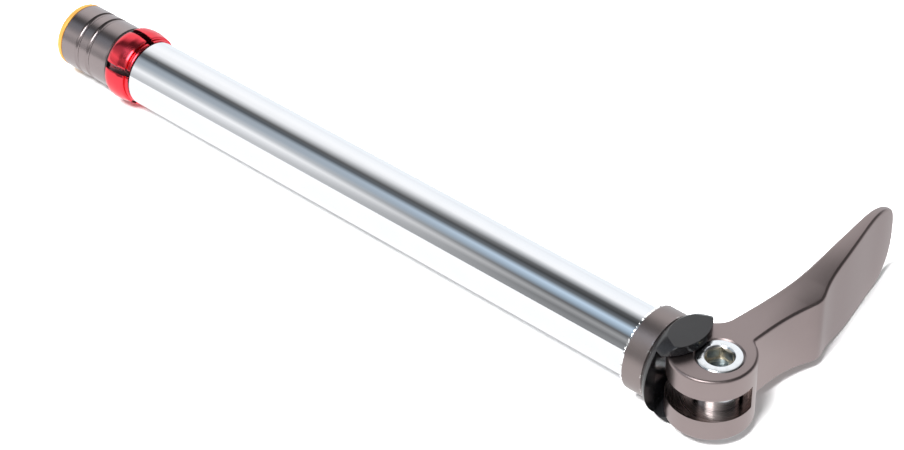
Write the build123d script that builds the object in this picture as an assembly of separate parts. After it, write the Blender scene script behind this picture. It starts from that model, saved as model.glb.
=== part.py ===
from build123d import *
import math
import os

# Bicycle thru axle with a cam lever at one end and an expanding split flange at the other.
# Frame: the axle lies along X with the lever at +X, the lever's pivot stands along Z, and the
# arm points to +Y. The origin is on the axis, in the plane of the collar's clamping face.

# Driving dimensions in millimetres
TUBE_OD = 15.0
TUBE_WALL = 1.4
TUBE_EDGE = 0.3
CLAMP_LENGTH = 142.3
COLLAR_OD = 18.2
COLLAR_WIDTH = 5.3
COLLAR_SEAT = 3.3
COLLAR_TEETH = 60
TOOTH_DEPTH = 0.32
TOOTH_LAND = 0.35
COLLAR_EDGE = 0.25
ROD_OD = 4.8
THREAD_GRIP = 9.0
ROD_EDGE = 0.4

SEGMENTS = 5
SEGMENT_PHASE = 47.0
SEGMENT_WIDTH = 7.0
SEGMENT_SPLIT = 0.1
SEGMENT_LIFT = 1.2
DRAW_TRAVEL = 2.4
SEGMENT_EDGE = 0.65
SEGMENT_EDGE_MID = 0.2
SEGMENT_SHOULDER = 2.0
SEGMENT_SHOULDER_MID = 0.8
SEGMENT_CONE = 2.3
SEGMENT_CONE_DROP = 0.45
SEGMENT_NECK = 0.4
SEGMENT_NECK_DROP = 1.15
SEGMENT_LIP = 0.6
SEGMENT_LIP_DROP = 0.9
SEGMENT_LIP_FALL = 0.15
TENON_WIDTH = 1.8
TENON_HEIGHT = 1.2
TENON_LENGTH = 1.4
TENON_FOOT = 0.5

EXPANDER_OD = 12.8
EXPANDER_BASE = 1.8
EXPANDER_CONE = 6.2
RING_THICKNESS = 0.5
RING_OD = 14.6
BARREL_OD = 15.0
BARREL_LENGTH = 14.5
BARREL_CAVITY = 3.2
GROOVE_FIRST = 5.2
GROOVE_SPACING = 3.55
GROOVE_DEPTH = 0.35
GROOVE_RADIUS = 0.9
BARREL_EDGE = 0.25
CAP_LIP = 1.7
CAP_ROUND = 1.0
CAP_PLUG_OD = 11.2
CAP_PLUG = 2.6

GUIDE_LENGTH = 8.8
SPRING_LENGTH = 17.0
SPRING_WIRE = 0.9
SPRING_OD = 9.8
SPRING_TURNS = 7
NUT_LENGTH = 4.0
NUT_ACROSS = 9.0
BUSH_LENGTH = 12.0

WASHER_EDGE_OD = 18.4
WASHER_OD = 21.4
WASHER_FLARE = 0.7
WASHER_RIM = 1.9
WASHER_KNEE = 0.75
WASHER_BOSS_OD = 13.0
WASHER_BOSS = 1.6
TAB_REACH = 7.6
TAB_RADIUS = 9.2
TAB_FLATS = 19.8
SADDLE_WEB = 0.7
SADDLE_RADIUS = 24.0

CAM_OD = 17.66
CAM_THROW = 1.7
HEAD_HEIGHT = 15.2
LEVER_EDGE = 0.6
SLOT_WIDTH = 5.4
SLOT_END = 1.5
ROD_ROOM = 1.0
PIVOT_OD = 9.4
PIVOT_SUNK = 0.1
PIVOT_EDGE = 0.2
BORE_EDGE = 0.3
SOCKET_ACROSS = 5.0
SOCKET_DEPTH = 2.8
SOCKET_MOUTH = 6.2
LOCK_OD = 4.4
LOCK_LENGTH = 1.5
LOCK_SOCKET = 2.0
LOCK_EDGE = 0.3

ARM_REACH = 61.6
ARM_ROOT = 7.2
ARM_KINK = 26.0
ARM_KINK_OUT = 5.8
ARM_BACK = 2.4
PADDLE_HEIGHT = 20.0
PADDLE_TIP = 13.0
VALLEY_ROUND = 1.0
ROOT_ROUND = 5.0

# Edges of the arm in plan, each as (distance back from the kink's face, share of the length): the face up
# to the kink, the face of the blade past it, and behind them the blade's and the root's back
ROOT_FACE = ((3.6, 0.2), (2.8, 0.58), (0.9, 0.88), (0.1, 1.0))
BLADE_FACE = ((0.9, 0.08), (2.7, 0.34), (5.2, 0.7))
BLADE_BACK = ((-0.35, 0.75), (-0.95, 0.42), (-0.6, 0.1))
ROOT_BACK = ((0.4, 0.88), (2.1, 0.48))
TIP_FACE = 7.8
TIP_BACK = 0.6
TIP_EXTRA = 2.0
# Where the back meets the cam, as shares of the cam's radius
BACK_FOOT = (-0.5, 0.7)
# Half height of the arm: shares of the length and of the height along the root, the swell and the tip
ROOT_STATIONS = (0.1, 0.55)
KINK_RISE = 0.7
SWELL_FALL = 0.25
TIP_STATIONS = ((0.5, 0.925), (0.83, 0.67))

# Named clearances
FIXED_FIT = 0.02
RUNNING_FIT = 0.06
FACE_GAP = 0.3
THRUST_GAP = 0.1
SLIDE_GAP = 0.05
END_GAP = 0.2
TENON_FIT = 0.15

# Places along the axle, worked out from the sizes above
tube_r = TUBE_OD / 2
bore_r = tube_r - TUBE_WALL
rod_r = ROD_OD / 2
lip_x = -CLAMP_LENGTH
tube_end_x = lip_x + END_GAP
segment_x = lip_x - SEGMENT_WIDTH
barrel_x = segment_x - FACE_GAP - RING_THICKNESS
barrel_end_x = barrel_x - BARREL_LENGTH
cap_end_x = barrel_end_x - CAP_LIP
guide_end_x = tube_end_x + GUIDE_LENGTH
nut_x = guide_end_x + SPRING_LENGTH
washer_x = COLLAR_WIDTH + THRUST_GAP
saddle_x = washer_x + SADDLE_WEB
cam_r = CAM_OD / 2
cam_x = saddle_x + FACE_GAP + cam_r
pivot_x = cam_x + CAM_THROW
pivot_r = PIVOT_OD / 2
head_z = HEAD_HEIGHT / 2
expander_r = EXPANDER_OD / 2
cone_slope = SEGMENT_LIFT / DRAW_TRAVEL


def rod_along_x(radius, x_from, x_to):
    """Solid cylinder on the axle's own axis, between two places on it."""
    low, high = min(x_from, x_to), max(x_from, x_to)
    place = Plane(origin=(low, 0, 0), x_dir=(0, 1, 0), z_dir=(1, 0, 0))
    return place * Cylinder(radius, high - low, align=(Align.CENTER, Align.CENTER, Align.MIN))


def turned(points):
    """Solid of revolution about the axle, from (x, radius) points in order."""
    outline = Polyline(*[(x, 0, r) for x, r in points], close=True)
    return revolve(make_face(outline), Axis.X)


def upright(radius, x, y, z_from, z_to):
    """Solid cylinder that stands along Z."""
    body = Cylinder(radius, z_to - z_from, align=(Align.CENTER, Align.CENTER, Align.MIN))
    return Pos(x, y, z_from) * body


def box_between(low, high):
    """Box between two opposite corners."""
    size = [b - a for a, b in zip(low, high)]
    middle = [(a + b) / 2 for a, b in zip(low, high)]
    return Pos(*middle) * Box(*size)


def make_tube():
    """The hollow shaft that carries the hub."""
    tube = rod_along_x(tube_r, tube_end_x, COLLAR_SEAT) - rod_along_x(bore_r, tube_end_x, COLLAR_SEAT)
    rims = tube.edges().filter_by(GeomType.CIRCLE).group_by(Axis.X)[0].sort_by(SortBy.LENGTH)
    return chamfer(rims[-1], min(TUBE_EDGE, TUBE_WALL / 3))


def make_collar():
    """Clamping collar with a ring of radial teeth on the face that bites the fork."""
    r = COLLAR_OD / 2
    collar = rod_along_x(r, 0, COLLAR_WIDTH)
    edges = collar.edges().filter_by(GeomType.CIRCLE)
    collar = chamfer(edges.group_by(Axis.X)[-1], COLLAR_EDGE)
    collar -= rod_along_x(tube_r + FIXED_FIT, 0, COLLAR_SEAT)
    collar -= rod_along_x(WASHER_BOSS_OD / 2 + THRUST_GAP, COLLAR_SEAT, COLLAR_WIDTH)
    half = TOOTH_DEPTH
    groove = Polyline((0, -half, 0), (0, half, 0), (TOOTH_DEPTH, 0, 0), close=True)
    start = tube_r + TOOTH_LAND
    cutter = extrude(Pos(0, 0, start) * make_face(groove), amount=r, dir=(0, 0, 1))
    cutters = [Rot(360 * i / COLLAR_TEETH, 0, 0) * cutter for i in range(COLLAR_TEETH)]
    return collar - cutters


def expander_profile(gap):
    """Cone that spreads the segments, as a solid grown outward by a gap."""
    top = expander_r + gap
    tip = top - cone_slope * EXPANDER_CONE
    return turned([(segment_x, 0), (segment_x, top), (segment_x + EXPANDER_CONE, tip),
                   (segment_x + EXPANDER_CONE, 0)])


def make_expander():
    """Turned cone on the rod, with a base that sits in the barrel's mouth."""
    base = rod_along_x(expander_r, barrel_x - EXPANDER_BASE, segment_x)
    return base + expander_profile(0) - rod_along_x(rod_r + FIXED_FIT, barrel_x - EXPANDER_BASE, lip_x)


def make_segments():
    """Equal claws of one split ring, drawn apart from their closed ring by the lift."""
    closed_r = tube_r - SLIDE_GAP
    neck_x = lip_x - SEGMENT_LIP
    cone_x = neck_x - SEGMENT_NECK
    ring = turned([
        (segment_x, 0), (segment_x, closed_r - SEGMENT_EDGE),
        (segment_x + SEGMENT_SHOULDER_MID, closed_r - SEGMENT_EDGE_MID),
        (segment_x + SEGMENT_SHOULDER, closed_r), (cone_x - SEGMENT_CONE, closed_r),
        (cone_x, closed_r - SEGMENT_CONE_DROP), (cone_x, closed_r - SEGMENT_NECK_DROP),
        (neck_x, closed_r - SEGMENT_NECK_DROP), (neck_x, closed_r - SEGMENT_LIP_DROP),
        (lip_x, closed_r - SEGMENT_LIP_DROP - SEGMENT_LIP_FALL), (lip_x, 0)])
    reach = 2 * closed_r
    side = SEGMENT_SPLIT / 2
    half = math.radians(180 / SEGMENTS)
    tip = (side / math.sin(half), 0)
    wide = (tip[0] + reach * math.cos(half), reach * math.sin(half))
    wedge_face = make_face(Polyline(tip, wide, (wide[0], -wide[1]), close=True))
    cross = Plane(origin=(segment_x - 1, 0, 0), x_dir=(0, 1, 0), z_dir=(1, 0, 0))
    wedge = extrude(cross * wedge_face, amount=SEGMENT_WIDTH + 2)
    claw = Pos(0, SEGMENT_LIFT, 0) * (ring & wedge)
    core_r = max(rod_r + FACE_GAP, expander_r - cone_slope * EXPANDER_CONE) + SEGMENT_LIFT
    claw -= rod_along_x(core_r, segment_x - 1, lip_x + 1)
    claw -= expander_profile(RUNNING_FIT * 2)
    top = bore_r - TENON_FIT
    claw += box_between((lip_x - TENON_FOOT, top - TENON_HEIGHT, -TENON_WIDTH / 2),
                        (tube_end_x + TENON_LENGTH, top, TENON_WIDTH / 2))
    turn = 360 / SEGMENTS
    return [Rot(SEGMENT_PHASE + turn * i, 0, 0) * claw for i in range(SEGMENTS)]


def make_guide():
    """Plug in the tube's far end, with a radial slot for each segment's tenon."""
    guide = rod_along_x(bore_r - FIXED_FIT, tube_end_x, guide_end_x)
    guide -= rod_along_x(rod_r + RUNNING_FIT, tube_end_x - 1, guide_end_x + 1)
    half = TENON_WIDTH / 2 + TENON_FIT
    slot = box_between((tube_end_x - 1, rod_r, -half), (tube_end_x + TENON_LENGTH + FACE_GAP, tube_r, half))
    turn = 360 / SEGMENTS
    return guide - [Rot(SEGMENT_PHASE + turn * i, 0, 0) * slot for i in range(SEGMENTS)]


def make_end_barrel():
    """Adjusting barrel that screws on the rod, with two round grooves for the fingers."""
    r = BARREL_OD / 2
    barrel = rod_along_x(r, barrel_end_x, barrel_x)
    barrel = chamfer(barrel.edges().filter_by(GeomType.CIRCLE), BARREL_EDGE)
    for i in range(2):
        x = barrel_end_x + GROOVE_FIRST + GROOVE_SPACING * i
        ring = Torus(r - GROOVE_DEPTH + GROOVE_RADIUS, GROOVE_RADIUS)
        barrel -= Pos(x, 0, 0) * Rot(0, 90, 0) * ring
    barrel -= rod_along_x(rod_r + RUNNING_FIT, barrel_end_x, barrel_x)
    barrel -= rod_along_x(CAP_PLUG_OD / 2 + FIXED_FIT, barrel_end_x, barrel_end_x + BARREL_CAVITY)
    mouth = EXPANDER_BASE + FACE_GAP
    barrel -= rod_along_x(expander_r + FACE_GAP, barrel_x - mouth, barrel_x)
    return barrel


def make_end_cap():
    """Push-in cap with a rounded lip that closes the barrel."""
    lip = rod_along_x(BARREL_OD / 2, cap_end_x, barrel_end_x)
    rim = lip.edges().filter_by(GeomType.CIRCLE).group_by(Axis.X)[0]
    return fillet(rim, CAP_ROUND) + rod_along_x(CAP_PLUG_OD / 2, barrel_end_x, barrel_end_x + CAP_PLUG)


def make_thrust_ring():
    """Thin black ring between the barrel and the segments."""
    right = barrel_x + RING_THICKNESS
    ring = rod_along_x(RING_OD / 2, barrel_x, right)
    return ring - rod_along_x(expander_r + FACE_GAP, barrel_x, right)


def make_rod():
    """Draw rod from the barrel's thread to the pivot barrel's cross hole."""
    left = barrel_x - EXPANDER_BASE - THREAD_GRIP
    rod = rod_along_x(rod_r, left, pivot_x + rod_r)
    return chamfer(rod.edges().filter_by(GeomType.CIRCLE), ROD_EDGE)


def make_spring():
    """Coil spring that draws the segments open, between the guide and the rod's nut."""
    mean = (SPRING_OD - SPRING_WIRE) / 2
    length = SPRING_LENGTH - SPRING_WIRE - 2 * END_GAP
    start_x = guide_end_x + END_GAP + SPRING_WIRE / 2
    path = Helix(length / SPRING_TURNS, length, mean, center=(start_x, 0, 0), direction=(1, 0, 0))
    section = Plane(origin=path @ 0, z_dir=path % 0) * Circle(SPRING_WIRE / 2)
    return sweep(section, path, is_frenet=True)


def make_spring_nut():
    """Hexagon nut on the rod that the spring pushes."""
    across = NUT_ACROSS / math.cos(math.radians(30)) / 2
    cross = Plane(origin=(nut_x, 0, 0), x_dir=(0, 1, 0), z_dir=(1, 0, 0))
    nut = extrude(cross * RegularPolygon(across, 6), amount=NUT_LENGTH)
    return nut - rod_along_x(rod_r + FIXED_FIT, nut_x, nut_x + NUT_LENGTH)


def make_bush():
    """Plain bush that carries the rod in the tube's lever end."""
    left = COLLAR_SEAT - BUSH_LENGTH
    bush = rod_along_x(bore_r - FIXED_FIT, left, COLLAR_SEAT)
    return bush - rod_along_x(rod_r + RUNNING_FIT, left, COLLAR_SEAT)


def make_cam_washer():
    """Moulded saddle: a flared disc with a hollow for the cam and a flat tab over each side of it."""
    edge_r = WASHER_EDGE_OD / 2
    r = WASHER_OD / 2
    rim_x = washer_x + WASHER_RIM
    reach_x = washer_x + TAB_REACH
    flare_r = r + WASHER_FLARE
    blank = turned([(washer_x, 0), (washer_x, edge_r), (washer_x + WASHER_KNEE, (edge_r + r) / 2),
                    (rim_x, r), ((rim_x + reach_x) / 2, flare_r), (reach_x, flare_r), (reach_x, 0)])
    disc = box_between((washer_x - 1, -flare_r, -flare_r), (rim_x, flare_r, flare_r))
    tab_plan = upright(TAB_RADIUS, reach_x - TAB_RADIUS, 0, -flare_r, flare_r)
    flats = box_between((washer_x, -flare_r, -TAB_FLATS / 2), (reach_x, flare_r, TAB_FLATS / 2))
    washer = blank & (disc + tab_plan) & flats
    gap_z = head_z + FACE_GAP
    channel = box_between((rim_x, -flare_r, -gap_z), (reach_x, flare_r, gap_z))
    saddle = upright(SADDLE_RADIUS, saddle_x + SADDLE_RADIUS, 0, -gap_z, gap_z)
    washer -= channel
    washer -= saddle
    washer += rod_along_x(WASHER_BOSS_OD / 2, washer_x - WASHER_BOSS, washer_x)
    return washer - rod_along_x(rod_r + FACE_GAP, washer_x - WASHER_BOSS, reach_x)


def arm_outline():
    """Plan of the lever: the cam's circle with the arm running off to +Y."""
    face = pivot_x + ARM_KINK_OUT
    back = pivot_x - ARM_BACK
    blade = ARM_REACH - ARM_KINK
    past = ARM_REACH + TIP_EXTRA
    face_points = [(face - d, ARM_KINK * share) for d, share in ROOT_FACE]
    face_points += [(face - d, ARM_KINK + blade * share) for d, share in BLADE_FACE]
    outer = Spline(*face_points, (face - TIP_FACE, past), tangents=[(0.15, 1), (-0.3, 1)])
    back_points = [(back - d, ARM_KINK + blade * share) for d, share in BLADE_BACK]
    back_points += [(back - d, ARM_KINK * share) for d, share in ROOT_BACK]
    foot = (cam_x + cam_r * BACK_FOOT[0], cam_r * BACK_FOOT[1])
    inner = Spline((back - TIP_BACK, past), *back_points, foot, tangents=[(0.25, -1), (-0.6, -0.8)])
    end = Line(outer @ 1, inner @ 0)
    shut = Polyline(inner @ 1, (cam_x, 0), outer @ 0)
    arm = make_face(Wire([*outer.edges(), *end.edges(), *inner.edges(), *shut.edges()]))
    plan = Pos(cam_x, 0) * Circle(cam_r) + arm
    corners = plan.vertices().sort_by(Axis.Y)[:2].sort_by(Axis.X)
    plan = fillet(corners[-1], VALLEY_ROUND)
    corners = plan.vertices().sort_by(Axis.X)
    root = [v for v in corners if v.Y < ARM_KINK / 2][0]
    return fillet(root, ROOT_ROUND)


def side_outline():
    """Elevation of the lever along Y: a narrow root that swells into the paddle and a blunt round tip."""
    top = PADDLE_HEIGHT / 2
    shoulder = ARM_REACH - PADDLE_TIP
    start = -cam_r - 1
    first, second = (ARM_KINK * share for share in ROOT_STATIONS)
    flat = Line((start, head_z), (first, head_z))
    tip = [(shoulder + PADDLE_TIP * along, top * up) for along, up in TIP_STATIONS]
    rise = Spline((first, head_z), (second, ARM_ROOT), (ARM_KINK, ARM_ROOT + KINK_RISE),
                  ((ARM_KINK + shoulder) / 2, top - SWELL_FALL), (shoulder, top), *tip,
                  (ARM_REACH, 0), tangents=[(1, 0), (0, -1)])
    upper = [*flat.edges(), *rise.edges()]
    lower = [edge for line in (rise, flat) for edge in mirror(line, about=Plane.XZ).edges()]
    shut = Line((start, -head_z), (start, head_z))
    return make_face(Wire([*upper, *lower, *shut.edges()]))


def make_lever():
    """One forged lever: slotted cam head and curved blade."""
    lever = Pos(0, 0, -PADDLE_HEIGHT) * extrude(arm_outline(), amount=2 * PADDLE_HEIGHT)
    elevation = Plane(origin=(-1, 0, 0), x_dir=(0, 1, 0), z_dir=(1, 0, 0)) * side_outline()
    lever = lever & extrude(elevation, amount=pivot_x + CAM_OD)
    lever = fillet([edge for edge in lever.edges() if edge.geom_type != GeomType.LINE], LEVER_EDGE)
    side = cam_x + cam_r + 1
    front = -cam_r - 1
    half = SLOT_WIDTH / 2
    lever -= box_between((cam_x - cam_r - 1, front, -half), (side, SLOT_END, half))
    lever -= box_between((cam_x - cam_r - 1, front, -half), (pivot_x, rod_r + ROD_ROOM, half))
    lever -= upright(pivot_r + ROD_ROOM / 2, pivot_x, 0, -half, half)
    lever -= upright(pivot_r + RUNNING_FIT, pivot_x, 0, -head_z, head_z)
    mouth = Cone(pivot_r + RUNNING_FIT, pivot_r + RUNNING_FIT + BORE_EDGE, BORE_EDGE,
                 align=(Align.CENTER, Align.CENTER, Align.MIN))
    lever -= Pos(pivot_x, 0, head_z - BORE_EDGE) * mouth
    lever -= Pos(pivot_x, 0, BORE_EDGE - head_z) * Rot(180, 0, 0) * mouth
    return lever


def make_pivot_barrel():
    """Cross barrel in the cam, with a hexagon socket, a lock screw's bore and the rod's hole."""
    end = head_z - PIVOT_SUNK
    barrel = upright(pivot_r, pivot_x, 0, -end, end)
    barrel = chamfer(barrel.edges().filter_by(GeomType.CIRCLE), PIVOT_EDGE)
    socket = RegularPolygon(SOCKET_ACROSS / math.cos(math.radians(30)) / 2, 6)
    barrel -= Pos(pivot_x, 0, end - SOCKET_DEPTH) * extrude(socket, amount=SOCKET_DEPTH + 1)
    mouth = (SOCKET_MOUTH - SOCKET_ACROSS) / 2
    barrel -= Pos(pivot_x, 0, end - mouth) * Cone(
        SOCKET_ACROSS / 2, SOCKET_MOUTH / 2, mouth, align=(Align.CENTER, Align.CENTER, Align.MIN))
    barrel -= upright(LOCK_OD / 2 + FIXED_FIT, pivot_x, 0, 0, end - SOCKET_DEPTH)
    barrel -= rod_along_x(rod_r + FIXED_FIT, pivot_x - PIVOT_OD, pivot_x + rod_r + END_GAP)
    return barrel


def make_lock_screw():
    """Grub screw in the pivot barrel that holds the rod's thread still."""
    low = rod_r + THRUST_GAP
    screw = upright(LOCK_OD / 2, pivot_x, 0, low, low + LOCK_LENGTH)
    socket = RegularPolygon(LOCK_SOCKET / math.cos(math.radians(30)) / 2, 6)
    screw -= Pos(pivot_x, 0, low + LOCK_LENGTH / 2) * extrude(socket, amount=LOCK_LENGTH)
    return chamfer(screw.edges().group_by(Axis.Z)[0], LOCK_EDGE)


def main():
    nodes = {
        "tube": make_tube(),
        "collar": make_collar(),
        "segment_guide": make_guide(),
        "head_bush": make_bush(),
        "return_spring": make_spring(),
        "spring_nut": make_spring_nut(),
        "draw_rod": make_rod(),
        "expander_cone": make_expander(),
        "thrust_ring": make_thrust_ring(),
        "end_barrel": make_end_barrel(),
        "end_cap": make_end_cap(),
        "cam_washer": make_cam_washer(),
        "lever": make_lever(),
        "pivot_barrel": make_pivot_barrel(),
        "rod_lock_screw": make_lock_screw(),
    }
    for i, segment in enumerate(make_segments()):
        nodes[f"flange_segment_{i + 1}"] = segment
    os.makedirs("parts", exist_ok=True)
    for name, shape in nodes.items():
        export_step(shape, f"parts/{name}.step")


main()
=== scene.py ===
# %% [markdown]
# # A bicycle thru axle with a cam lever
# The model's fixed frame comes first. Every object is in metres, and it shares one frame with the solids:
# the axle lies along X with the lever at +X, the lever's pivot stands along Z, and the closed arm points
# to +Y. Each shown solid keeps its shape here and gets a finish. Two pieces, the threaded rod and the
# spring, are made anew as surfaces.

# %% Load the frame
import math
import bpy
import numpy as np
from mathutils import Matrix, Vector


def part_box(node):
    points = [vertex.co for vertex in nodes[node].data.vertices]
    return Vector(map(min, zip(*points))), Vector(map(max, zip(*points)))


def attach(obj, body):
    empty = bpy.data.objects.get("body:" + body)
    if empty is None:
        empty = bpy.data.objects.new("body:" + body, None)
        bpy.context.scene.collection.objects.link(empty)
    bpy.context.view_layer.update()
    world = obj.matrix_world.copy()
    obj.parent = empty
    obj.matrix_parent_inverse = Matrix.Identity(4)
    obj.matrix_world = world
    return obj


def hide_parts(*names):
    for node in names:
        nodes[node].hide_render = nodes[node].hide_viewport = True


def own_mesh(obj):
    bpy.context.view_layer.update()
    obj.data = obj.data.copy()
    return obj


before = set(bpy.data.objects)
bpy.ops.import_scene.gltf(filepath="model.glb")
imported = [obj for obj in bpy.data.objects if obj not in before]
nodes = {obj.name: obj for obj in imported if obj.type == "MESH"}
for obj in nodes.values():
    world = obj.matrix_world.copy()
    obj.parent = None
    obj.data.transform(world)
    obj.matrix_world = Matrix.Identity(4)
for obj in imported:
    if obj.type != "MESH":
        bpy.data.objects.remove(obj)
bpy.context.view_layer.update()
claws = sorted(name for name in nodes if name.startswith("flange_segment"))

# %% [markdown]
# ## The camera
# The photograph was taken from above the lever's side with a long lens. A camera is a place, three turns
# and a lens, so all of them were fitted to the outlines of the tube, the collar and the cam head. The
# rotation matrix is written from the view's own axes: right, up and back.

# %% Camera
AZIMUTH, ELEVATION, ROLL = (math.radians(v) for v in (42.55, 39.00, -1.28))
FOCAL_PIXELS = 2538.93
ORIGIN_PIXEL = (648.64, 346.65)
DISTANCE = 0.49761
PICTURE = (904, 450)
SENSOR = 36.0
NEAREST_SEEN = 0.01


def view_axes():
    """Right, up and back of the camera as rows: back points from the object to the lens, and roll turns
    right and up about it."""
    level = np.array([math.cos(AZIMUTH), math.sin(AZIMUTH), 0.0])
    outward = np.array([math.sin(AZIMUTH), -math.cos(AZIMUTH), 0.0])
    back = outward * math.cos(ELEVATION) + np.array([0.0, 0.0, math.sin(ELEVATION)])
    above = np.cross(back, level)
    right = level * math.cos(ROLL) + above * math.sin(ROLL)
    up = above * math.cos(ROLL) - level * math.sin(ROLL)
    return np.array([right, up, back])


axes = view_axes()
across, down = (np.array(ORIGIN_PIXEL) - np.array(PICTURE) / 2) / FOCAL_PIXELS * DISTANCE
eye = -axes.T @ np.array([across, -down, -DISTANCE])
lens = bpy.data.cameras.new("camera")
lens.lens = FOCAL_PIXELS * SENSOR / PICTURE[0]
lens.sensor_width = SENSOR
lens.clip_start = NEAREST_SEEN
camera = bpy.data.objects.new("camera", lens)
bpy.context.scene.collection.objects.link(camera)
pose = np.eye(4)
pose[:3, :3] = axes.T
pose[:3, 3] = eye
camera.matrix_world = Matrix(pose.tolist())
bpy.context.scene.camera = camera
print("camera at", eye.round(4), "lens", round(lens.lens, 2))

# %% [markdown]
# ## The floor
# The axle lies on a pale sheet. It touches the sheet at three places: the flange, the black saddle and the
# lower edge of the lever's blade. A plane through the lowest points of those three is the floor.

# %% Floor
SHEET_MIDDLE_X = -0.07
SHEET_HALF = 3.0
SHEET_GAP = 0.00002
ROUNDS = 8


def points_of(*names):
    """All the vertices of some solids, as one array."""
    return np.concatenate([np.array([v.co for v in nodes[name].data.vertices]) for name in names])


def resting_plane(groups):
    """Plane under three groups of points: it starts level, and each round takes the lowest point of each
    group, measured along the plane's own normal, until the three stay the same."""
    normal = np.array([0.0, 0.0, 1.0])
    for _ in range(ROUNDS):
        feet = [g[np.argmin(g @ normal)] for g in groups]
        normal = np.cross(feet[1] - feet[0], feet[2] - feet[0])
        normal *= np.sign(normal[2]) / np.linalg.norm(normal)
    return feet, normal


feet, floor_normal = resting_plane([points_of(*claws), points_of("cam_washer"), points_of("lever")])
middle = np.array([SHEET_MIDDLE_X, 0.0, 0.0])
middle += floor_normal * ((feet[0] - middle) @ floor_normal - SHEET_GAP)
side_x = np.cross([0.0, 1.0, 0.0], floor_normal)
side_x /= np.linalg.norm(side_x)
side_y = np.cross(floor_normal, side_x)
corners = [middle + (side_x * a + side_y * b) * SHEET_HALF for a, b in ((-1, -1), (1, -1), (1, 1), (-1, 1))]
sheet_mesh = bpy.data.meshes.new("floor")
sheet_mesh.from_pydata([tuple(c) for c in corners], [], [(0, 1, 2, 3)])
floor = bpy.data.objects.new("floor", sheet_mesh)
bpy.context.scene.collection.objects.link(floor)
print("floor normal", floor_normal.round(4), "feet", np.array(feet).round(4).tolist())

# %% [markdown]
# ## Small helpers for shader nodes
# A shader is a graph, and most of its lines would only place a node and link its sockets. These helpers do
# both at once. Wherever they take a value, they also take another node's socket, so that a formula reads
# from left to right.

# %% Node helpers
def feed(tree, target, value):
    """Links a socket to an input, or writes a plain value into it."""
    if isinstance(value, bpy.types.NodeSocket):
        tree.links.new(value, target)
    else:
        target.default_value = value


def place(tree, kind, **values):
    """Adds one shader node and sets its own settings and its inputs, both by name."""
    node = tree.nodes.new(kind)
    for key, value in values.items():
        if hasattr(node, key):
            setattr(node, key, value)
        else:
            feed(tree, node.inputs[key.replace("_", " ")], value)
    return node


def number(tree, operation, *terms, clamp=False):
    """The result of one Math node over its terms."""
    node = place(tree, "ShaderNodeMath", operation=operation, use_clamp=clamp)
    for slot, term in enumerate(terms):
        feed(tree, node.inputs[slot], term)
    return node.outputs[0]


def vector(tree, operation, *terms):
    """The result of one Vector Math node over its terms."""
    node = place(tree, "ShaderNodeVectorMath", operation=operation)
    for slot, term in enumerate(terms):
        feed(tree, node.inputs[slot], term)
    return node.outputs["Value" if operation in ("LENGTH", "DISTANCE", "DOT_PRODUCT") else "Vector"]


def ramped(tree, value, start, end, low=0.0, high=1.0, smooth=False):
    """Low up to start, high from end on, and a straight or smooth way between them."""
    node = place(tree, "ShaderNodeMapRange", interpolation_type="SMOOTHSTEP" if smooth else "LINEAR",
                 Value=value, From_Min=start, From_Max=end, To_Min=low, To_Max=high)
    return node.outputs["Result"]


def mixed(tree, kind, share, first, second):
    """First where share is 0 and second where it is 1: two colours (RGBA) or two numbers (FLOAT)."""
    node = place(tree, "ShaderNodeMix", data_type=kind, Factor=share, A=first, B=second)
    return node.outputs["Result"]


def ramp_stops(node, stops):
    """Writes (position, colour) pairs into a colour ramp."""
    bar = node.color_ramp
    while len(bar.elements) > 1:
        bar.elements.remove(bar.elements[-1])
    for i, (position, colour) in enumerate(stops):
        element = bar.elements[0] if i == 0 else bar.elements.new(position)
        element.position = position
        element.color = (*colour, 1.0)


print("helpers", [helper.__name__ for helper in (feed, place, number, vector, ramped, mixed, ramp_stops)])

# %% [markdown]
# ## The room
# Polished metal shows the room, so the room matters more than the lamps. An image of a studio could be
# wrapped round the scene, but a formula is easier to tune: brightness depends on the angle round the axle,
# with a pale back, a dark gap overhead and bright panels in front. There are three such rows, as the room
# changes a little along the axle as well.

# %% Rows of the room
# Rows of (angle round the axle in degrees, brightness, blueness). The angle runs from the back (0) over the
# top (90) to the front (180). The first row is what rays see that lean far toward the flange, the second
# what they see a little less far, and the third is the darker room toward the lever.
FLANGE_SIDE = [(-180, 1.0, 0), (0, 0.95, 0.3), (40, 1.05, 0), (64, 0.95, 0), (76, 0.6, 0.1), (88, 0.13, 0.1),
               (100, 0.12, 1), (112, 0.44, 1), (124, 0.48, 0.9), (136, 0.62, 0.3), (148, 1.0, 0),
               (160, 0.78, 0.1), (172, 0.6, 0.1)]
MIDDLE = [(-180, 1.0, 0), (0, 0.95, 0.3), (40, 1.05, 0.1), (52, 1.0, 0), (64, 0.52, 0.2), (76, 0.11, 0.2),
          (88, 0.06, 0.4), (100, 0.2, 0.9), (112, 0.84, 1.6), (124, 0.53, 1.7), (136, 0.13, 0.1),
          (148, 0.36, 0), (160, 0.2, 0.1), (172, 0.27, 0.1)]
LEVER_SIDE = [(-180, 1.0, 0), (-4, 0.7, 0), (8, 0.25, 0), (30, 0.11, 0), (60, 0.07, 0), (96, 0.08, 0),
              (118, 0.17, 0), (132, 0.7, 0), (150, 0.9, 0), (164, 0.3, 0), (176, 0.35, 0)]
FLANGE_TO_MIDDLE = (-0.61, -0.47)
MIDDLE_TO_LEVER = (-0.36, 0.05)
RED_LOSS, GREEN_LOSS = 0.2, 0.1


def room_row(tree, turn, row):
    """Colour ramp round the axle: blueness takes a share of the red and half as much of the green."""
    bar = place(tree, "ShaderNodeValToRGB")
    stops = []
    for angle, light, blue in row:
        colour = (light * (1 - RED_LOSS * blue), light * (1 - GREEN_LOSS * blue), light)
        stops.append(((angle + 180) / 360, colour))
    ramp_stops(bar, stops)
    feed(tree, bar.inputs[0], turn)
    return bar.outputs["Color"]


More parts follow.
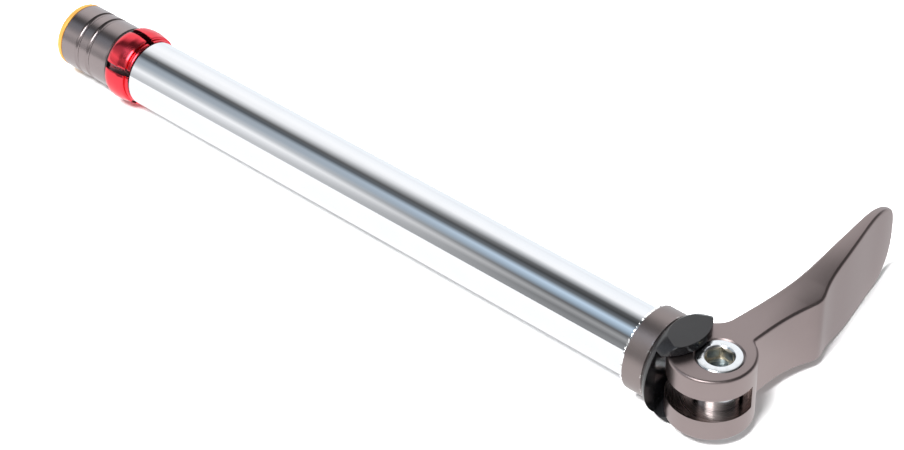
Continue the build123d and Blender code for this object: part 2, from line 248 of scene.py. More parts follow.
def window(tree, value, start, end, soft):
    """1 between start and end and 0 outside, with smooth edges inside them."""
    rise = ramped(tree, value, start, start + soft, smooth=True)
    fall = ramped(tree, value, end, end - soft, smooth=True)
    return number(tree, "MULTIPLY", rise, fall)


print("room stops", [len(row) for row in (FLANGE_SIDE, MIDDLE, LEVER_SIDE)])

# %% [markdown]
# One small panel above the front is much brighter than the rest, and gives the glint on the cam head.
# Matt surfaces don't need this picture. They get an even light instead, as under a tent.

# %% World
PANEL_LEAN = (-0.2, 0.25)
PANEL_TURN = (math.radians(103), math.radians(141))
PANEL_EDGE = (0.06, 0.08)
PANEL_LIGHT = 7.0
DOME_LIGHT = 0.5
ROOM_LIGHT = 1.05


def build_world():
    """Brightness by the angle round the axle, in three rows that change over with the ray's lean along X,
    and the bright panel on top of it."""
    world = bpy.data.worlds.new("room")
    bpy.context.scene.world = world
    world.use_nodes = True
    tree = world.node_tree
    tree.nodes.clear()
    way = place(tree, "ShaderNodeSeparateXYZ", Vector=place(tree, "ShaderNodeTexCoord").outputs["Generated"])
    lean = way.outputs["X"]
    angle = number(tree, "ARCTAN2", way.outputs["Z"], way.outputs["Y"])
    turn = ramped(tree, angle, -math.pi, math.pi)
    flange, between, lever = (room_row(tree, turn, row) for row in (FLANGE_SIDE, MIDDLE, LEVER_SIDE))
    shown = mixed(tree, "RGBA", ramped(tree, lean, *FLANGE_TO_MIDDLE, smooth=True), flange, between)
    shown = mixed(tree, "RGBA", ramped(tree, lean, *MIDDLE_TO_LEVER, smooth=True), shown, lever)
    inside = number(tree, "MULTIPLY", window(tree, lean, *PANEL_LEAN, PANEL_EDGE[0]),
                    window(tree, angle, *PANEL_TURN, PANEL_EDGE[1]))
    shown = mixed(tree, "RGBA", inside, shown, (PANEL_LIGHT, PANEL_LIGHT, PANEL_LIGHT, 1.0))
    matt = place(tree, "ShaderNodeLightPath").outputs["Is Diffuse Ray"]
    shown = mixed(tree, "RGBA", matt, shown, (DOME_LIGHT, DOME_LIGHT, DOME_LIGHT, 1.0))
    sky = place(tree, "ShaderNodeBackground", Color=shown, Strength=ROOM_LIGHT)
    feed(tree, place(tree, "ShaderNodeOutputWorld").inputs[0], sky.outputs[0])


build_world()
print("world", bpy.context.scene.world.name, "nodes", len(bpy.context.scene.world.node_tree.nodes))

# %% [markdown]
# ## The lamp
# One soft lamp stands near the camera, a little to its left and above it, so that almost every shadow
# hides behind its object. It is hidden from reflections, so the tube shows only the room.

# %% Lamp
LAMP_AT = (0.014, -0.456, 0.831)
LAMP_AIM = (-0.05, 0.0, 0.0)
LAMP_SIZE = 0.34
LAMP_WATTS = 26.0


def soft_lamp(name, at, towards, size, watts):
    """Square lamp that looks from one point to another, and isn't seen in reflections."""
    data = bpy.data.lights.new(name, "AREA")
    data.size = size
    data.energy = watts
    lamp = bpy.data.objects.new(name, data)
    bpy.context.scene.collection.objects.link(lamp)
    back = np.subtract(at, towards)
    back = back / np.linalg.norm(back)
    right = np.cross([0.0, 1.0, 0.0], back)
    right /= np.linalg.norm(right)
    turn = np.eye(4)
    turn[:3, :3] = np.array([right, np.cross(back, right), back]).T
    turn[:3, 3] = at
    lamp.matrix_world = Matrix(turn.tolist())
    lamp.visible_glossy = False
    return lamp


key = soft_lamp("key", LAMP_AT, LAMP_AIM, LAMP_SIZE, LAMP_WATTS)
bpy.context.scene.view_settings.view_transform = "Standard"
print("lamp", key.name, "metres from the axle", round(math.dist(LAMP_AT, LAMP_AIM), 3))

# %% [markdown]
# ## Shared effects
# Real surfaces are never even. An effect that several finishes use is a node group, built once and placed
# in each material with its own values. A group puts out only masks and heights, and the shader stays in
# the material. There are four. The first two give the skin: a satin grain, and the fine lines that a lathe
# leaves.

# %% Grain and lathe lines
ROUND_THE_AXLE = 0.01


def new_group(name, inputs, outputs):
    """Empty group with named sockets: (name, socket kind, start value or None)."""
    group = bpy.data.node_groups.new(name, "ShaderNodeTree")
    for label, kind, start in inputs:
        socket = group.interface.new_socket(name=label, in_out="INPUT", socket_type=kind)
        if start is not None:
            socket.default_value = start
    for label in outputs:
        group.interface.new_socket(name=label, in_out="OUTPUT", socket_type="NodeSocketFloat")
    return group, place(group, "NodeGroupInput").outputs, place(group, "NodeGroupOutput").inputs


def satin_grain():
    """Blasted and anodised skin: fine noise as height, and slow noise as a colour and gloss drift."""
    group, given, out = new_group(
        "satin_grain",
        [("Vector", "NodeSocketVector", None), ("Fineness", "NodeSocketFloat", 6000.0),
         ("Drift", "NodeSocketFloat", 120.0)],
        ["Height", "Cloud"])
    fine = place(group, "ShaderNodeTexNoise", Detail=3.0, Roughness=0.6, Vector=given["Vector"],
                 Scale=given["Fineness"])
    slow = place(group, "ShaderNodeTexNoise", Detail=4.0, Roughness=0.55, Vector=given["Vector"],
                 Scale=given["Drift"])
    feed(group, out["Height"], fine.outputs["Fac"])
    feed(group, out["Cloud"], slow.outputs["Fac"])
    return group


def turning_lines():
    """Lines left by a lathe: noise that is stretched round the axle, so it changes almost only along X."""
    group, given, out = new_group(
        "turning_lines",
        [("Vector", "NodeSocketVector", None), ("Pitch", "NodeSocketFloat", 4000.0)],
        ["Height"])
    split = place(group, "ShaderNodeSeparateXYZ", Vector=given["Vector"]).outputs
    y, z = (number(group, "MULTIPLY", split[axis], ROUND_THE_AXLE) for axis in "YZ")
    along = place(group, "ShaderNodeCombineXYZ", X=split["X"], Y=y, Z=z)
    noise = place(group, "ShaderNodeTexNoise", Detail=2.0, Roughness=0.5, Vector=along.outputs[0],
                  Scale=given["Pitch"])
    feed(group, out["Height"], noise.outputs["Fac"])
    return group


GRAIN, LATHE = satin_grain(), turning_lines()
print("groups", GRAIN.name, LATHE.name)

# %% [markdown]
# Handling leaves rubs and specks. Noise that is cut at a high level leaves only a few small islands, and
# the level sets how rare they are.

# %% Rubs and specks
ISLAND_EDGE = 0.05


def handling_marks():
    """Rubbed patches and specks: 1 where the noise is over Rarity, with a narrow soft edge."""
    group, given, out = new_group(
        "handling_marks",
        [("Vector", "NodeSocketVector", None), ("Scale", "NodeSocketFloat", 700.0),
         ("Rarity", "NodeSocketFloat", 0.66)],
        ["Mask"])
    noise = place(group, "ShaderNodeTexNoise", Detail=5.0, Roughness=0.65, Vector=given["Vector"],
                  Scale=given["Scale"])
    above = number(group, "ADD", given["Rarity"], ISLAND_EDGE)
    feed(group, out["Mask"], ramped(group, noise.outputs["Fac"], given["Rarity"], above))
    return group


RUBS = handling_marks()
print("group", RUBS.name)

# %% [markdown]
# Some finishes differ from place to place. A band mask picks what lies between two values of a coordinate.

# %% Bands
def band_mask():
    """1 where Value lies between Low and High, 0 outside, with soft edges of width Soft inside them."""
    group, given, out = new_group(
        "band_mask",
        [("Value", "NodeSocketFloat", 0.0), ("Low", "NodeSocketFloat", 0.0), ("High", "NodeSocketFloat", 1.0),
         ("Soft", "NodeSocketFloat", 0.0001)],
        ["Mask"])
    shares = []
    for more, less in (("Value", "Low"), ("High", "Value")):
        gap = number(group, "SUBTRACT", given[more], given[less])
        shares.append(number(group, "DIVIDE", gap, given["Soft"], clamp=True))
    feed(group, out["Mask"], number(group, "MULTIPLY", *shares))
    return group


BAND = band_mask()
print("group", BAND.name)

# %% [markdown]
# ## Finishes
# Every finish starts from the same plan: the piece's own coordinates feed the shared groups, a colour is
# mixed from two near tones, the gloss drifts a little, and a bump gives the fine relief. Heights are in
# metres, as everything here, so the bump's strength can stay at 1.

# %% A finish from its tones
MICRON = 1e-6
DRIFT = 120.0


def finish_of(name, dark, light, metallic, rough, grain=6000.0, relief=0.0, lines=0.0, pitch=4000.0,
              marks=None, mark_scale=700.0, rarity=0.66, marks_rough=0.5):
    """Principled material: colour goes from dark to light with the slow cloud, roughness spans rough,
    relief is the grain's height, lines is the lathe lines' height, and marks is the colour of rubs."""
    material = bpy.data.materials.new(name)
    material.use_nodes = True
    tree = material.node_tree
    shader = tree.nodes["Principled BSDF"]
    where = place(tree, "ShaderNodeTexCoord").outputs["Object"]
    skin = place(tree, "ShaderNodeGroup", node_tree=GRAIN, Vector=where, Fineness=grain, Drift=DRIFT).outputs
    colour = mixed(tree, "RGBA", skin["Cloud"], (*dark, 1.0), (*light, 1.0))
    roughness = ramped(tree, skin["Cloud"], 0.0, 1.0, *rough)
    if marks is not None:
        rub = place(tree, "ShaderNodeGroup", node_tree=RUBS, Vector=where, Scale=mark_scale, Rarity=rarity)
        colour = mixed(tree, "RGBA", rub.outputs["Mask"], colour, (*marks, 1.0))
        roughness = mixed(tree, "FLOAT", rub.outputs["Mask"], roughness, marks_rough)
    height = number(tree, "MULTIPLY", skin["Height"], relief)
    if lines:
        lathe = place(tree, "ShaderNodeGroup", node_tree=LATHE, Vector=where, Pitch=pitch)
        height = number(tree, "MULTIPLY_ADD", lathe.outputs["Height"], lines, height)
    bump = place(tree, "ShaderNodeBump", Distance=1.0, Strength=1.0, Height=height).outputs["Normal"]
    for label, value in (("Metallic", metallic), ("Base Color", colour), ("Roughness", roughness),
                         ("Normal", bump)):
        feed(tree, shader.inputs[label], value)
    return material


polished = finish_of("polished_tube", (0.84, 0.86, 0.89), (0.9, 0.91, 0.94), 1.0, (0.04, 0.08),
                     relief=0.05 * MICRON, lines=0.1 * MICRON, pitch=2500.0, marks=(0.7, 0.72, 0.77),
                     mark_scale=420.0, rarity=0.7, marks_rough=0.22)
print("first finish", polished.name, "nodes", len(polished.node_tree.nodes))

# %% [markdown]
# The seen finishes come from the photograph: warm grey anodised parts, a duller forged lever, moulded black
# plastic with a coarse grain, and clear red and orange anodising. The hidden pieces get plain workshop
# finishes.

# %% Finishes
anodised = finish_of("grey_anodised", (0.33, 0.28, 0.282), (0.37, 0.32, 0.322), 1.0, (0.2, 0.26),
                     relief=0.3 * MICRON, lines=0.5 * MICRON, pitch=2600.0)
collar_grey = finish_of("collar_anodised", (0.28, 0.235, 0.23), (0.32, 0.275, 0.268), 1.0, (0.3, 0.38),
                        relief=0.4 * MICRON, lines=0.5 * MICRON, pitch=2600.0)
forged = finish_of("lever_anodised", (0.325, 0.265, 0.262), (0.365, 0.303, 0.3), 1.0, (0.31, 0.38),
                   relief=0.7 * MICRON, grain=5000.0, marks=(0.6, 0.58, 0.58), rarity=0.78)
black = finish_of("black_plastic", (0.004, 0.004, 0.0045), (0.009, 0.009, 0.01), 0.0, (0.18, 0.24),
                  relief=5 * MICRON, grain=4500.0, marks=(0.1, 0.1, 0.1), mark_scale=900.0, rarity=0.75)
red = finish_of("red_anodised", (0.85, 0.05, 0.075), (0.97, 0.085, 0.11), 1.0, (0.14, 0.2),
                relief=0.2 * MICRON, lines=0.3 * MICRON, pitch=2000.0)
orange = finish_of("orange_anodised", (0.95, 0.47, 0.1), (1.0, 0.54, 0.14), 0.8, (0.36, 0.44),
                   relief=0.3 * MICRON, lines=0.4 * MICRON)
zinc = finish_of("zinc_steel", (0.8, 0.83, 0.86), (0.88, 0.91, 0.94), 1.0, (0.12, 0.2), relief=0.3 * MICRON,
                 marks=(0.42, 0.44, 0.47), rarity=0.73)
blued = finish_of("dark_steel", (0.2, 0.26, 0.32), (0.35, 0.44, 0.52), 1.0, (0.2, 0.35), relief=0.5 * MICRON)
plain = finish_of("plain_aluminium", (0.66, 0.67, 0.69), (0.75, 0.76, 0.78), 1.0, (0.22, 0.32),
                  relief=0.3 * MICRON, lines=0.6 * MICRON)
bush = finish_of("bush_plastic", (0.62, 0.6, 0.54), (0.7, 0.68, 0.62), 0.0, (0.4, 0.5), relief=0.6 * MICRON)
wire = finish_of("spring_steel", (0.5, 0.51, 0.53), (0.62, 0.63, 0.65), 1.0, (0.2, 0.3), relief=0.3 * MICRON)
print("finishes", sorted(material.name for material in bpy.data.materials))

# %% [markdown]
# ## Places with another look
# Some places on a piece differ from the rest of it. They could be separate materials on chosen faces, but a
# mask from the piece's own coordinates needs no edge in the mesh. The mask picks the place, and its colour
# and gloss are mixed in just before the shader.

# %% Masks on a piece
FAR = 10.0
EDGE_START = 0.9


def mix_in(material, mask, colour, rough):
    """Puts another colour and roughness over a finish where mask is 1."""
    tree = material.node_tree
    shader = tree.nodes["Principled BSDF"]
    for label, kind, value in (("Base Color", "RGBA", (*colour, 1.0)), ("Roughness", "FLOAT", rough)):
        before = shader.inputs[label].links[0].from_socket
        feed(tree, shader.inputs[label], mixed(tree, kind, mask, before, value))


def own(material, what="Object"):
    """The piece's own coordinates, or its normal, as a socket."""
    return place(material.node_tree, "ShaderNodeTexCoord").outputs[what]


def coordinate(material, axis):
    """One of the piece's coordinates, X, Y or Z."""
    return place(material.node_tree, "ShaderNodeSeparateXYZ", Vector=own(material)).outputs[axis]


def band(material, value, low, high, soft):
    """1 where the value lies between low and high."""
    return place(material.node_tree, "ShaderNodeGroup", node_tree=BAND, Value=value, Low=low, High=high,
                 Soft=soft).outputs["Mask"]


def specks(material, scale, rarity):
    """Small islands all over the piece."""
    return place(material.node_tree, "ShaderNodeGroup", node_tree=RUBS, Vector=own(material), Scale=scale,
                 Rarity=rarity).outputs["Mask"]


def both_of(material, first, second):
    """1 where both masks are 1: their product."""
    return number(material.node_tree, "MULTIPLY", first, second)


def near_mask(material, at, radius, upright=False):
    """1 within a radius of one point, or of an upright axis through it: the distance to it, turned over."""
    tree = material.node_tree
    flat = vector(tree, "MULTIPLY", own(material), (1.0, 1.0, 0.0 if upright else 1.0))
    away = vector(tree, "DISTANCE", flat, (at[0], at[1], 0.0 if upright else at[2]))
    return ramped(tree, away, radius * EDGE_START, radius, 1.0, 0.0)


print("masks", [mask.__name__ for mask in (band, specks, both_of, near_mask)])

# %% [markdown]
# The collar's teeth bite into the fork, so their tips are worn bare at the rim. The bare tips and a few
# torn dots are also painted near white as glints, and the dots stop being metallic so that the lamp whitens
# them. The collar's other rim is rubbed by the saddle.

# %% The collar's rims
# Depths and soft edges in metres, then each place's specks (scale, rarity) and its look (colour, gloss).
RIM_WIDTH, RIM_SOFT = 0.0004, 0.0001
TIP_DEPTH, TIP_SOFT, TIP_SPECKS = 0.0005, 0.00008, (900.0, 0.42)
TORN_DEPTH, TORN_SOFT, TORN_SPECKS = 0.0003, 0.00002, (1400.0, 0.47)
BACK_DEPTH, BACK_SOFT, BACK_SPECKS = 0.0006, 0.0003, (1500.0, 0.56)
# The worn tips and torn dots are bare metal, painted near white as glints.
BARE_TIPS_AND_GLINTS = ((0.9, 0.9, 0.9), 0.12)
RUBBED_RIM = ((0.92, 0.9, 0.88), 0.15)
TORN_METAL_AND_GLINTS = ((0.75, 0.75, 0.76), 0.4)


def axle_radius(material):
    """The distance from the axle's axis: the length of (Y, Z)."""
    tree = material.node_tree
    return vector(tree, "LENGTH", vector(tree, "MULTIPLY", own(material), (0.0, 1.0, 1.0)))


def scatter(material, mask):
    """Where mask is 1, the finish stops being metallic."""
    tree = material.node_tree
    feed(tree, tree.nodes["Principled BSDF"].inputs["Metallic"], number(tree, "SUBTRACT", 1.0, mask))


low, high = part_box("collar")
along = coordinate(collar_grey, "X")
rim = band(collar_grey, axle_radius(collar_grey), high.z - RIM_WIDTH, FAR, RIM_SOFT)
bare_tips_and_glints = both_of(collar_grey, band(collar_grey, along, -FAR, low.x + TIP_DEPTH, TIP_SOFT),
               specks(collar_grey, *TIP_SPECKS))
torn_dots_and_glints = both_of(collar_grey, band(collar_grey, along, -FAR, low.x + TORN_DEPTH, TORN_SOFT),
               specks(collar_grey, *TORN_SPECKS))
rubbed = both_of(collar_grey, band(collar_grey, along, high.x - BACK_DEPTH, FAR, BACK_SOFT),
                 specks(collar_grey, *BACK_SPECKS))
torn_dots_and_glints = both_of(collar_grey, torn_dots_and_glints, rim)
# Painted glints: near white on the worn tips and the torn dots.
mix_in(collar_grey, both_of(collar_grey, bare_tips_and_glints, rim), *BARE_TIPS_AND_GLINTS)
mix_in(collar_grey, rubbed, *RUBBED_RIM)
mix_in(collar_grey, torn_dots_and_glints, *TORN_METAL_AND_GLINTS)
scatter(collar_grey, torn_dots_and_glints)
print("collar from", round(low.x, 5), "to", round(high.x, 5), "radius", round(high.z, 5))

# %% [markdown]
# The claws are clear red outside, but the walls of their slots lie in each other's shade. The walls of a
# radial cut are the faces that look round the axle, so the piece's normal finds them.

# %% The claws' slots
WALL_TURN = (0.6, 0.85)
SHADED_RED = ((0.16, 0.012, 0.022), 0.45)


def wall_mask(material):
    """1 on faces that look round the axle, 0 on faces that look along it or straight out from it: the size
    of the normal's dot with the direction round the axle."""
    tree = material.node_tree
    outward = vector(tree, "NORMALIZE", vector(tree, "MULTIPLY", own(material), (0.0, 1.0, 1.0)))
    around = vector(tree, "CROSS_PRODUCT", (1.0, 0.0, 0.0), outward)
    dot = vector(tree, "DOT_PRODUCT", around, own(material, "Normal"))
    return ramped(tree, number(tree, "ABSOLUTE", dot), *WALL_TURN)


mix_in(red, wall_mask(red), *SHADED_RED)
print("claws with dark slots", len(claws))

# %% [markdown]
# The lever's slot shows bare metal, painted lighter to stand in for light that reaches into the slot. It
# was cut by a round cutter, which leaves arcs: they are noise that changes only with the distance from
# the cutter's axis.

# %% The lever's slot
SLOT_HALF = 0.00272
SLOT_END_Y = 0.0016
SHARP = 0.00002
ARC_FINENESS, ARC_LEVELS = 2600.0, (0.4, 0.6)
# Bare cut metal, painted lighter as light inside the slot. The dark arcs are real cutter marks.
CUT_METAL_PAINTED_LIGHTER = ((0.5, 0.42, 0.4), 0.2)
DARK_ARCS = ((0.2, 0.16, 0.15), 0.3)


def cutter_arcs(material, centre):
    """Arcs round an upright axis: noise over the distance from the axis, cut to streaks."""
    tree = material.node_tree
    away = vector(tree, "MULTIPLY", vector(tree, "SUBTRACT", own(material), centre), (1.0, 1.0, 0.0))
    row = place(tree, "ShaderNodeCombineXYZ", X=vector(tree, "LENGTH", away)).outputs[0]
    noise = place(tree, "ShaderNodeTexNoise", Detail=3.0, Roughness=0.7, Vector=row, Scale=ARC_FINENESS)
    return ramped(tree, noise.outputs["Fac"], *ARC_LEVELS)


pivot_low, pivot_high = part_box("pivot_barrel")
PIVOT = ((pivot_low.x + pivot_high.x) / 2, 0.0, 0.0)
cut_walls = both_of(forged, band(forged, coordinate(forged, "Z"), -SLOT_HALF, SLOT_HALF, SHARP),
                    band(forged, coordinate(forged, "Y"), -FAR, SLOT_END_Y, SHARP))
# Painted light: the slot's walls get a lighter colour.
mix_in(forged, cut_walls, *CUT_METAL_PAINTED_LIGHTER)
mix_in(forged, both_of(forged, cut_walls, cutter_arcs(forged, PIVOT)), *DARK_ARCS)
print("pivot at", round(PIVOT[0], 5))

# %% [markdown]
# The socket in the cross barrel is duller than the zinc round it, and the tube has one dark fleck. The
# socket lies near an upright axis and the fleck near a point, so a distance picks them out.

# %% The socket and the fleck
SOCKET_RADIUS = 0.00308
SOCKET_RIM, SOCKET_SOFT = 0.00015, 0.0001
DULL_SOCKET = ((0.66, 0.62, 0.53), 0.28)
FLECK_AT, FLECK_RADIUS = (-0.1368, -0.0030, 0.0069), 0.0003
DARK_FLECK = ((0.12, 0.13, 0.15), 0.5)

pivot_zinc = zinc.copy()
pivot_zinc.name = "pivot_zinc"
socket_top = pivot_high.z - SOCKET_RIM
socket = both_of(pivot_zinc, near_mask(pivot_zinc, PIVOT, SOCKET_RADIUS, upright=True),
                 band(pivot_zinc, coordinate(pivot_zinc, "Z"), 0.0, socket_top, SOCKET_SOFT))
mix_in(pivot_zinc, socket, *DULL_SOCKET)
mix_in(polished, near_mask(polished, FLECK_AT, FLECK_RADIUS), *DARK_FLECK)
print("socket below", round(socket_top, 5), "fleck at", FLECK_AT)

# %% [markdown]
# ## The rolled edge
# The lever's upper edge isn't a plain round. The top rolls over toward the outer edge, most of all at the
# kink. The solid has a plain round there, and a bump can bend the light without moving the surface. Two
# ramps give the edge's place and the roll's width for each place along the arm.

# %% Curves along the arm
# Rows of (Y, X of the edge) and of (Y, width of the roll).
EDGE_X = [(0.0052, 0.01913), (0.0151, 0.01993), (0.0229, 0.02183), (0.026, 0.02263), (0.0288, 0.02183),
          (0.0381, 0.02003), (0.0509, 0.01753), (0.0636, 0.01493)]
ROLL_WIDTH = [(0.007, 0.0001), (0.015, 0.0035), (0.025, 0.0065), (0.036, 0.0045), (0.05, 0.0025),
              (0.062, 0.0015)]
ARM_SPAN = 0.065
EDGE_REACH = 0.03
ROLL_REACH = 0.012


def curve_of(tree, source, points, reach):
    """A colour ramp read as a curve: for source over the arm's span it gives the points' second number,
    which the ramp holds as a share of reach."""
    bar = place(tree, "ShaderNodeValToRGB")
    bar.color_ramp.interpolation = "B_SPLINE"
    ramp_stops(bar, [(a / ARM_SPAN, (b / reach,) * 3) for a, b in points])
    feed(tree, bar.inputs[0], number(tree, "DIVIDE", source, ARM_SPAN))
    return number(tree, "MULTIPLY", bar.outputs["Color"], reach)


print("edge points", len(EDGE_X), "widths", len(ROLL_WIDTH))

# %% [markdown]
# The height falls with the square of the way into the roll, as on a round. The side of the blade must not
# bend with it, so the bump is only there on faces that look up. It lies under the grain's bump.

# %% Roll
ROLL_BEND = 36.0
FACES_UP = (0.8, 0.97)


def rolled_edge(material):
    """A bump of height -bend / 2 * (width * t)^2, with t = 1 - (edge - x) / width between 0 and 1."""
    tree = material.node_tree
    x, y = coordinate(material, "X"), coordinate(material, "Y")
    edge = curve_of(tree, y, EDGE_X, EDGE_REACH)
    width = curve_of(tree, y, ROLL_WIDTH, ROLL_REACH)
    share = number(tree, "DIVIDE", number(tree, "SUBTRACT", edge, x), width)
    run = number(tree, "MULTIPLY", number(tree, "SUBTRACT", 1.0, share, clamp=True), width)
    height = number(tree, "MULTIPLY", number(tree, "MULTIPLY", run, run), -ROLL_BEND / 2)
    facing = place(tree, "ShaderNodeSeparateXYZ", Vector=own(material, "Normal")).outputs["Z"]
    grain = [node for node in tree.nodes if node.bl_idname == "ShaderNodeBump"][0]
    upward = ramped(tree, facing, *FACES_UP)
    roll = place(tree, "ShaderNodeBump", Distance=1.0, Strength=upward, Height=height)
    feed(tree, grain.inputs["Normal"], roll.outputs["Normal"])


rolled_edge(forged)
print("widest roll mm", max(width for _, width in ROLL_WIDTH) * 1000)

# %% [markdown]
# ## What each piece wears
# Each solid gets its finish as its only material.

# %% Finishes on the pieces
WEARS = {
    "tube": polished, "collar": collar_grey, "end_barrel": anodised, "lever": forged, "cam_washer": black,
    "thrust_ring": black, "end_cap": orange, "pivot_barrel": pivot_zinc, "draw_rod": zinc, "spring_nut": zinc,
    "rod_lock_screw": blued, "segment_guide": plain, "expander_cone": plain, "head_bush": bush,
    "return_spring": wire, **{name: red for name in claws},
}
for name, material in WEARS.items():
    slots = nodes[name].data.materials
    slots.clear()
    slots.append(material)
print("finished nodes", len(WEARS), "of", len(nodes))

# %% [markdown]
# The floor is as bright as a paper sweep under studio lamps, which bleaches it to white. The metal would
# mirror all of that, so for mirror rays the paper goes dark and glows evenly instead: less bright, bluer
# behind the axle and darker by the blade.

# %% The sheet
SHEET_IN_METAL = 1.13
SHEET_SHEEN = 0.1
NO_PAPER = ((0.0, 0.0, 0.0), 0.7)
SHEET_BEHIND = ((0.93, 0.97, 1.0), (-FAR, 0.012), (0.0, FAR))
SHEET_BY_BLADE = ((0.82, 0.81, 0.82), (0.012, FAR), (0.021, FAR))
FADE_X, FADE_Y = 0.008, 0.015

white = finish_of("floor_white", (0.86, 0.86, 0.87), (0.9, 0.9, 0.9), 0.0, (0.6, 0.7))
sheet_tree = white.node_tree
sheet_inputs = sheet_tree.nodes["Principled BSDF"].inputs
mirror = place(sheet_tree, "ShaderNodeLightPath").outputs["Is Glossy Ray"]
mix_in(white, mirror, *NO_PAPER)
tint = (1.0, 1.0, 1.0, 1.0)
for colour, x_range, y_range in (SHEET_BEHIND, SHEET_BY_BLADE):
    here = both_of(white, band(white, coordinate(white, "X"), *x_range, FADE_X),
                   band(white, coordinate(white, "Y"), *y_range, FADE_Y))
    tint = mixed(sheet_tree, "RGBA", here, tint, (*(v / SHEET_IN_METAL for v in colour), 1.0))
feed(sheet_tree, sheet_inputs["Emission Color"], tint)
feed(sheet_tree, sheet_inputs["Emission Strength"], number(sheet_tree, "MULTIPLY", mirror, SHEET_IN_METAL))
feed(sheet_tree, sheet_inputs["Specular IOR Level"], SHEET_SHEEN)
floor.data.materials.append(white)
print("sheet", white.name, "nodes", len(sheet_tree.nodes))

# %% [markdown]
# ## Edges
# A machined edge is never sharp, and a knife edge catches no light. Eight solids need finer edges than
# they have. They come as loose triangles, so a Weld modifier joins them first. Then a small Bevel rounds
# every real edge, and the shading is smooth between.

# %% Rounded edges on the solids
SAME_POINT = 2e-6


def soften(name, width, angle=28.0, segments=2):
    """Weld, bevel by angle, then normals weighted by face area, so that wide faces stay flat."""
    piece = nodes[name]
    piece.data.polygons.foreach_set("use_smooth", [True] * len(piece.data.polygons))
    weld = piece.modifiers.new("weld", "WELD")
    weld.merge_threshold = SAME_POINT
    bevel = piece.modifiers.new("bevel", "BEVEL")
    bevel.width = width
    bevel.limit_method = "ANGLE"
    bevel.angle_limit = math.radians(angle)
    bevel.segments = segments
    bevel.use_clamp_overlap = True
    piece.modifiers.new("weighted", "WEIGHTED_NORMAL")


EDGES = {"cam_washer": 0.00035, "end_cap": 0.00012, "pivot_barrel": 0.0001,
         **{name: 0.0002 for name in claws}}
for name, width in EDGES.items():
    soften(name, width)
print("softened", len(EDGES))

# %% [markdown]
# ## Surfaces from grids
# A grid of points, closed round its columns, is a tube of any shape. Its two ends are closed by fans. Faces
# have to look outward, and the volume tells: it is positive only when they do.

# %% Grid to mesh
def signed_volume(mesh):
    """Sum over triangles of a . (b x c) / 6, which is positive when the faces look outward."""
    mesh.calc_loop_triangles()
    points = np.array([v.co for v in mesh.vertices])
    a, b, c = (points[[t.vertices[k] for t in mesh.loop_triangles]] for k in range(3))
    return float(np.einsum("ij,ij->i", a, np.cross(b, c)).sum() / 6)


def surface_piece(name, points, ends, material):
    """Mesh of rows x columns of points, closed round the columns, with a fan to one end point at each end."""
    rows, cols = points.shape[:2]
    i, j = np.meshgrid(np.arange(rows - 1), np.arange(cols), indexing="ij")
    a, b = i * cols + j, i * cols + (j + 1) % cols
    quads = np.stack([a, b, b + cols, a + cols], -1).reshape(-1, 4)
    ring = np.arange(cols)
    after = (ring + 1) % cols
    first, last, end_row = rows * cols, rows * cols + 1, (rows - 1) * cols
    fans = np.concatenate([np.stack([0 * ring + first, after, ring], -1),
                           np.stack([0 * ring + last, end_row + ring, end_row + after], -1)])
    mesh = bpy.data.meshes.new(name)
    mesh.from_pydata(np.vstack([points.reshape(-1, 3), ends]).tolist(), [], quads.tolist() + fans.tolist())
    mesh.validate()
    mesh.materials.append(material)
    piece = bpy.data.objects.new(name, mesh)
    bpy.context.scene.collection.objects.link(piece)
    return piece


print("grid helpers", signed_volume.__name__, surface_piece.__name__)

# %% [markdown]
# ## The threaded rod
# The rod is a plain cylinder in the solids. A real one has a rolled thread where the barrel screws on and
# where the cross barrel holds it. The thread is one formula on a grid of turns and steps: the radius
# falls into a V groove whose place moves by one pitch for each turn.

# %% Threaded rod
PITCH = 0.0008
GROOVE = 0.0003
CREST, FLANK = 0.15, 0.7
ROD_CHAMFER = 0.0004
THREAD_FAR, THREAD_NEAR = 0.0115, 0.009
PLAIN_ROWS = 12


def threaded_rod(name, like, steps=48, rows_a_pitch=8):
    """Surface r(x, t) = R - depth * V(x / pitch - t / turn), where V is 1 at a groove's bottom and 0 at its
    crest, and depth fades in at each thread's run-out and out at the ends' chamfers."""
    low, high = (np.array(corner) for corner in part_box(like))
    start, end, radius = low[0], high[0], (high[2] - low[2]) / 2
    fine = PITCH / rows_a_pitch
    x = np.concatenate([np.arange(start, start + THREAD_FAR + fine, fine),
                        np.linspace(start + THREAD_FAR + 2 * fine, end - THREAD_NEAR - 2 * fine, PLAIN_ROWS),
                        np.arange(end - THREAD_NEAR - fine, end + fine / 2, fine)])
    x = np.minimum(x, end)
    X, T = np.meshgrid(x, np.linspace(0, 2 * math.pi, steps, endpoint=False), indexing="ij")
    phase = (X - start) / PITCH - T / (2 * math.pi)
    v = 1 - np.abs(2 * (phase - np.floor(phase)) - 1)
    cut = np.clip((v - CREST) / FLANK, 0, 1)
    runout = np.maximum(np.clip((start + THREAD_FAR - X) / PITCH, 0, 1),
                        np.clip((X - end + THREAD_NEAR) / PITCH, 0, 1))
    chamfer = radius - ROD_CHAMFER + np.minimum(X - start, end - X)
    R = np.minimum(radius - GROOVE * cut * runout, chamfer)
    points = np.stack([X, R * np.cos(T), R * np.sin(T)], -1)
    return surface_piece(name, points, [[x[0], 0, 0], [x[-1], 0, 0]], zinc)


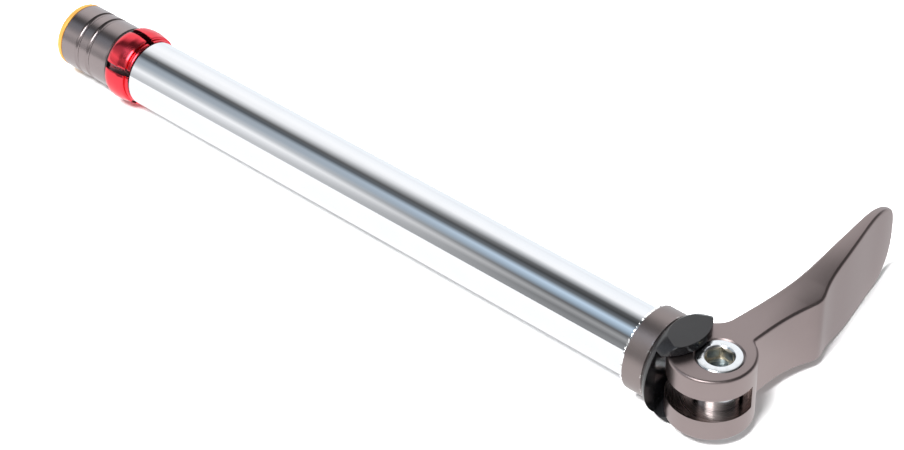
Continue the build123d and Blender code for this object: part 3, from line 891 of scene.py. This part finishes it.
rod = threaded_rod("rod_with_threads", "draw_rod")
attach(rod, "draw")
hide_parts("draw_rod")
print("rod faces", len(rod.data.polygons), "volume mm3", round(signed_volume(rod.data) * 1e9, 1))

# %% [markdown]
# ## The return spring
# The spring sits between the guide in the tube and the nut on the rod, so it gets shorter when the lever
# opens. The solid can't do that here. A wire surface takes its place: its first and last turns lie close,
# as on a real compression spring. It hangs on the shaft's body and keeps its length.

# %% Return spring
WIRE = 0.0009
SPRING_TURNS = 7
PLAY = 1.05


def coil_spring(name, like, steps_a_turn=40, sides=12):
    """Wire of radius r round x(a), R cos a, R sin a: x rises by one wire a turn in the first and last turn,
    and evenly between them. The wire's circle stands on the radial direction and tangent x radial."""
    low, high = (np.array(corner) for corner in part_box(like))
    r = WIRE / 2
    mean = (high[2] - low[2]) / 2 - r
    turns = np.linspace(0, SPRING_TURNS, SPRING_TURNS * steps_a_turn + 1)
    start, end = low[0] + r * PLAY, high[0] - r * PLAY
    x = np.interp(turns, [0, 1, SPRING_TURNS - 1, SPRING_TURNS],
                  [start, start + WIRE * PLAY, end - WIRE * PLAY, end])
    angle = turns * 2 * math.pi
    middle = np.stack([x, mean * np.cos(angle), mean * np.sin(angle)], -1)
    radial = np.stack([0 * x, np.cos(angle), np.sin(angle)], -1)
    tangent = np.gradient(middle, axis=0)
    tangent /= np.linalg.norm(tangent, axis=1)[:, None]
    across = np.cross(tangent, radial)
    s = np.linspace(0, 2 * math.pi, sides, endpoint=False)[None, :, None]
    points = middle[:, None] + r * (np.cos(s) * radial[:, None] + np.sin(s) * across[:, None])
    return surface_piece(name, points, [middle[0], middle[-1]], wire)


coil = coil_spring("coil_spring", "return_spring")
coil.data.polygons.foreach_set("use_smooth", [True] * len(coil.data.polygons))
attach(coil, "shaft")
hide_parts("return_spring")
guide_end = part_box("segment_guide")[1].x
nut_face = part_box("spring_nut")[0].x
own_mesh(coil)
print("spring between", round(guide_end, 5), "and", round(nut_face, 5), "volume mm3",
      round(signed_volume(coil.data) * 1e9, 1))
